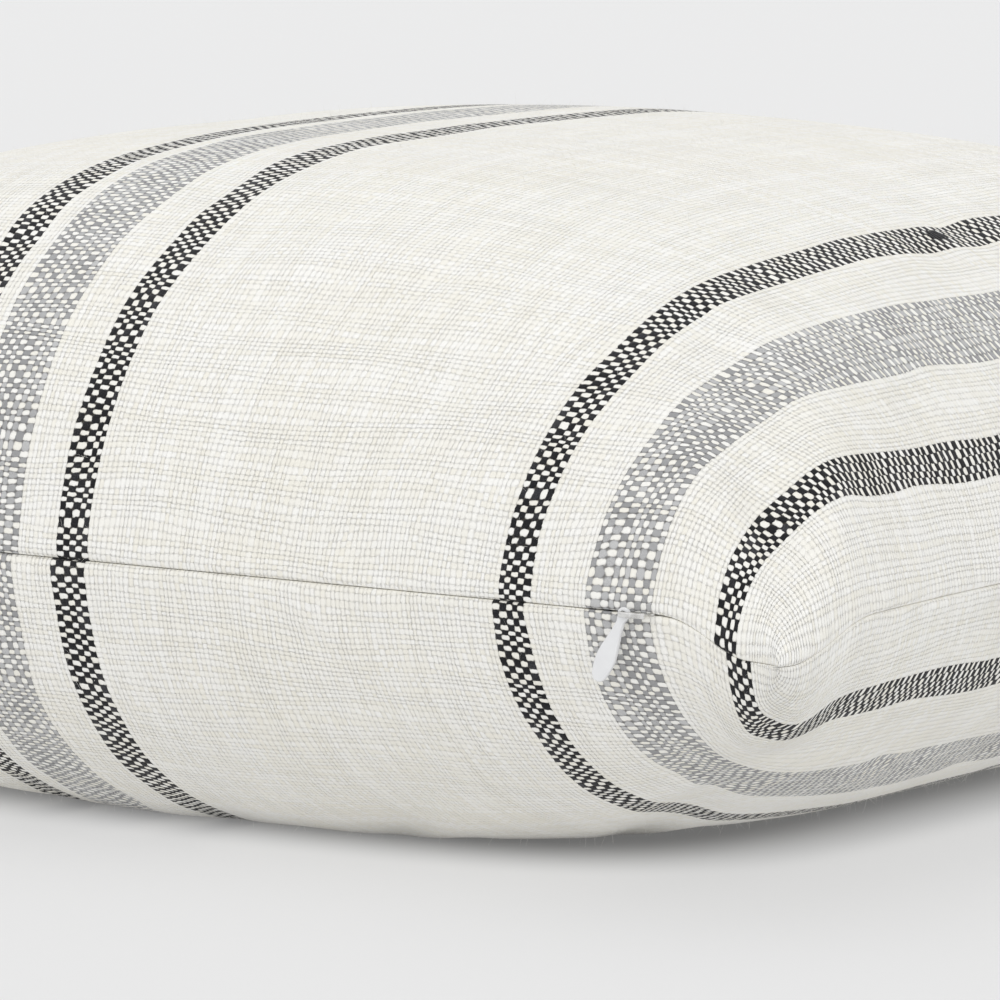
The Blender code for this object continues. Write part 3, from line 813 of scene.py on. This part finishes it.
def build_tapes():
    """Woven tapes of the zip against the inside of each panel, with thicker selvedges."""
    material = plain_cloth("tape_cloth", TAPE_IVORY, TAPE_PITCH)
    along = np.linspace(TAPE_START, TAPE_END, TAPE_STEPS)[:, None] / CORNER_REACH
    across = np.linspace(-1.0, 1.0, 11)[None, :]
    depth = TAPE_NEAR + (TAPE_FAR - TAPE_NEAR) * (0.5 + 0.5 * across)
    selvedge = 0.72 + 0.28 * np.exp(-((np.abs(across) - 0.82) / 0.12) ** 2) - 0.35 * np.abs(across) ** 24
    for side, label in ((1, "upper"), (-1, "lower")):
        face = surface(along, -1.0 + depth / FABRIC_HALF, side)
        normal = grid_normals(face) * side
        half = 0.5 * TAPE_THICKNESS * selvedge[..., None] * np.ones((len(along), 1, 1))
        middle = face - normal * (TAPE_UNDER + 0.5 * TAPE_THICKNESS)
        outer, inner = middle + normal * half, middle - normal * half
        soft_strip(f"tape_{label}", f"zip_tape_{label}", outer, inner, material)


def build_allowances():
    """Overlocked allowances of the three sewn sides: cloth between slanting loops of thread."""
    material = plain_cloth("overlock_thread", THREAD_IVORY, THREAD_PITCH)
    share = np.linspace(0.0, 1.0, ALLOWANCE_STEPS)[:, None]
    depth = np.linspace(0.0, 1.0, 9)[None, :]
    for label, start, end in (
        ("right", (1.0, -ALLOWANCE_REACH), (1.0, ALLOWANCE_REACH)),
        ("left", (-1.0, -ALLOWANCE_REACH), (-1.0, ALLOWANCE_REACH)),
        ("back", (-ALLOWANCE_REACH, 1.0), (ALLOWANCE_REACH, 1.0)),
    ):
        a = start[0] + (end[0] - start[0]) * share
        b = start[1] + (end[1] - start[1]) * share
        seam = surface(a * np.ones_like(depth), b * np.ones_like(depth), 1)
        inwards = np.zeros_like(seam)
        axis = 0 if start[0] == end[0] else 1
        inwards[..., axis] = -np.sign(seam[..., axis])
        turns = share * ALLOWANCE_REACH * 2.0 * FABRIC_HALF / OVERLOCK_PITCH + OVERLOCK_SLANT * depth
        loops = 0.5 + 0.5 * np.cos(2.0 * math.pi * turns)
        edge = ease(0.25, 0.45, depth)
        reach = ALLOWANCE_SETBACK + ALLOWANCE_WIDTH * (depth - 0.045 * (1.0 - loops) * depth ** 8)
        middle = seam + inwards * reach[..., None]
        cloth_and_thread = 0.62 - 0.10 * edge + 0.42 * edge * loops
        half = 0.5 * ALLOWANCE_THICKNESS * cloth_and_thread * (1.0 - 0.4 * depth ** 16)
        lift = half[..., None] * np.array([0.0, 0.0, 1.0])
        node = f"seam_allowance_{label}"
        soft_strip(f"overlock_{label}", node, middle + lift, middle - lift, material)


def finish_cad_materials():
    metal = nickel()
    coil = nylon()
    looks = {
        "zip_slider": metal,
        "zip_top_stop_upper": metal,
        "zip_top_stop_lower": metal,
        "zip_bottom_stop": metal,
        "zip_coil_upper": coil,
        "zip_coil_lower": coil,
        "zip_pull_tab": moulded_white(),
    }
    for node, material in looks.items():
        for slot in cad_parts[node].material_slots:
            slot.material = material


# ---------------------------------------------------------------- stage, light and camera

CAMERA_AZIMUTH = 33.0
CAMERA_ELEVATION = 6.9
CAMERA_ROLL = 0.57
CAMERA_DISTANCE = 2.2
CAMERA_TARGET = (0.127, -0.200, 0.1015)
CAMERA_SHARPNESS = 4.037     # frame widths per metre, at the target
SENSOR = 36.0


def make_camera():
    azimuth, elevation, roll = (math.radians(v) for v in (CAMERA_AZIMUTH, CAMERA_ELEVATION, CAMERA_ROLL))
    level = math.cos(elevation)
    back = Vector((math.sin(azimuth) * level, -math.cos(azimuth) * level, math.sin(elevation)))
    right = (-back).cross(Vector((0.0, 0.0, 1.0))).normalized()
    up = right.cross(-back)
    turned_right = right * math.cos(roll) + up * math.sin(roll)
    turned_up = up * math.cos(roll) - right * math.sin(roll)
    data = bpy.data.cameras.new("camera")
    data.sensor_width = SENSOR
    data.lens = SENSOR * CAMERA_SHARPNESS * CAMERA_DISTANCE
    data.clip_end = 60.0
    camera = bpy.data.objects.new("camera", data)
    axes = Matrix((turned_right, turned_up, back)).transposed().to_4x4()
    camera.matrix_world = Matrix.Translation(Vector(CAMERA_TARGET) + back * CAMERA_DISTANCE) @ axes
    bpy.context.scene.collection.objects.link(camera)
    bpy.context.scene.camera = camera


def soft_sun(name, towards, strength, spread_degrees):
    """Even light from one direction over the whole stage, as from a large distant softbox."""
    data = bpy.data.lights.new(name, "SUN")
    data.energy = strength
    data.angle = math.radians(spread_degrees)
    lamp = bpy.data.objects.new(name, data)
    lamp.rotation_euler = Vector(towards).to_track_quat("Z", "Y").to_euler()
    bpy.context.scene.collection.objects.link(lamp)


WORLD_LIGHT = 0.80
OVERHEAD_LIGHT = 0.54
FRONT_LIGHT = 0.24
LOW_LIGHT = 0.78
PAINTED_FLOOR_GLOW = (0.11, 0.52)    # painted light: the floor glows though it is no lamp, with weaker emission under the pillow, which paints a shadow beneath it, and full emission further out
PAINTED_SHADOW_FADE = (0.115, 0.166)  # the painted shadow fades out between these distances from the middle
FLOOR_COLOUR = 0.26
FLOOR_HALF = 30.0
WORLD_COLOUR = (0.985, 0.99, 1.0, 1.0)


def make_stage():
    material, tree, shader = new_material("floor_painted_glow", 0.75, colour=(FLOOR_COLOUR,) * 3)
    shader.inputs["Specular IOR Level"].default_value = 0.2
    shader.inputs["Emission Color"].default_value = (1.0, 1.0, 1.0, 1.0)
    place = tree.nodes.new("ShaderNodeTexCoord")
    split = tree.nodes.new("ShaderNodeSeparateXYZ")
    tree.links.new(place.outputs["Object"], split.inputs[0])
    # painted shadow: the floor's emission is weakest close to the pillow and full further out
    far_x = Field(tree, split.outputs[0]).math("ABSOLUTE").math("POWER", 4.0)
    far_y = Field(tree, split.outputs[1]).math("ABSOLUTE").math("POWER", 4.0)
    outside_painted_shadow = (far_x + far_y).math("POWER", 0.25).step_between(*PAINTED_SHADOW_FADE)
    painted_glow = outside_painted_shadow * (PAINTED_FLOOR_GLOW[1] - PAINTED_FLOOR_GLOW[0]) + PAINTED_FLOOR_GLOW[0]
    tree.links.new(painted_glow.source, shader.inputs["Emission Strength"])
    corners = ((-1, -1), (1, -1), (1, 1), (-1, 1))
    points = [(FLOOR_HALF * x, FLOOR_HALF * y, 0.0) for x, y in corners]
    floor = mesh_object("floor", points, [(0, 1, 2, 3)], material, smooth=False)
    world = bpy.data.worlds.new("studio")
    world.use_nodes = True
    background = world.node_tree.nodes["Background"]
    background.inputs["Color"].default_value = WORLD_COLOUR
    background.inputs["Strength"].default_value = WORLD_LIGHT
    scene = bpy.context.scene
    scene.world = world
    scene.view_settings.view_transform = "Standard"
    soft_sun("overhead", (-0.30, 0.20, 1.0), OVERHEAD_LIGHT, 80.0)
    soft_sun("front", (-0.35, -1.0, 0.65), FRONT_LIGHT, 60.0)
    soft_sun("low_right", (0.8, -0.7, 0.10), LOW_LIGHT, 70.0)


build_cover()
build_insert()
build_tapes()
build_allowances()
finish_cad_materials()
make_stage()
make_camera()
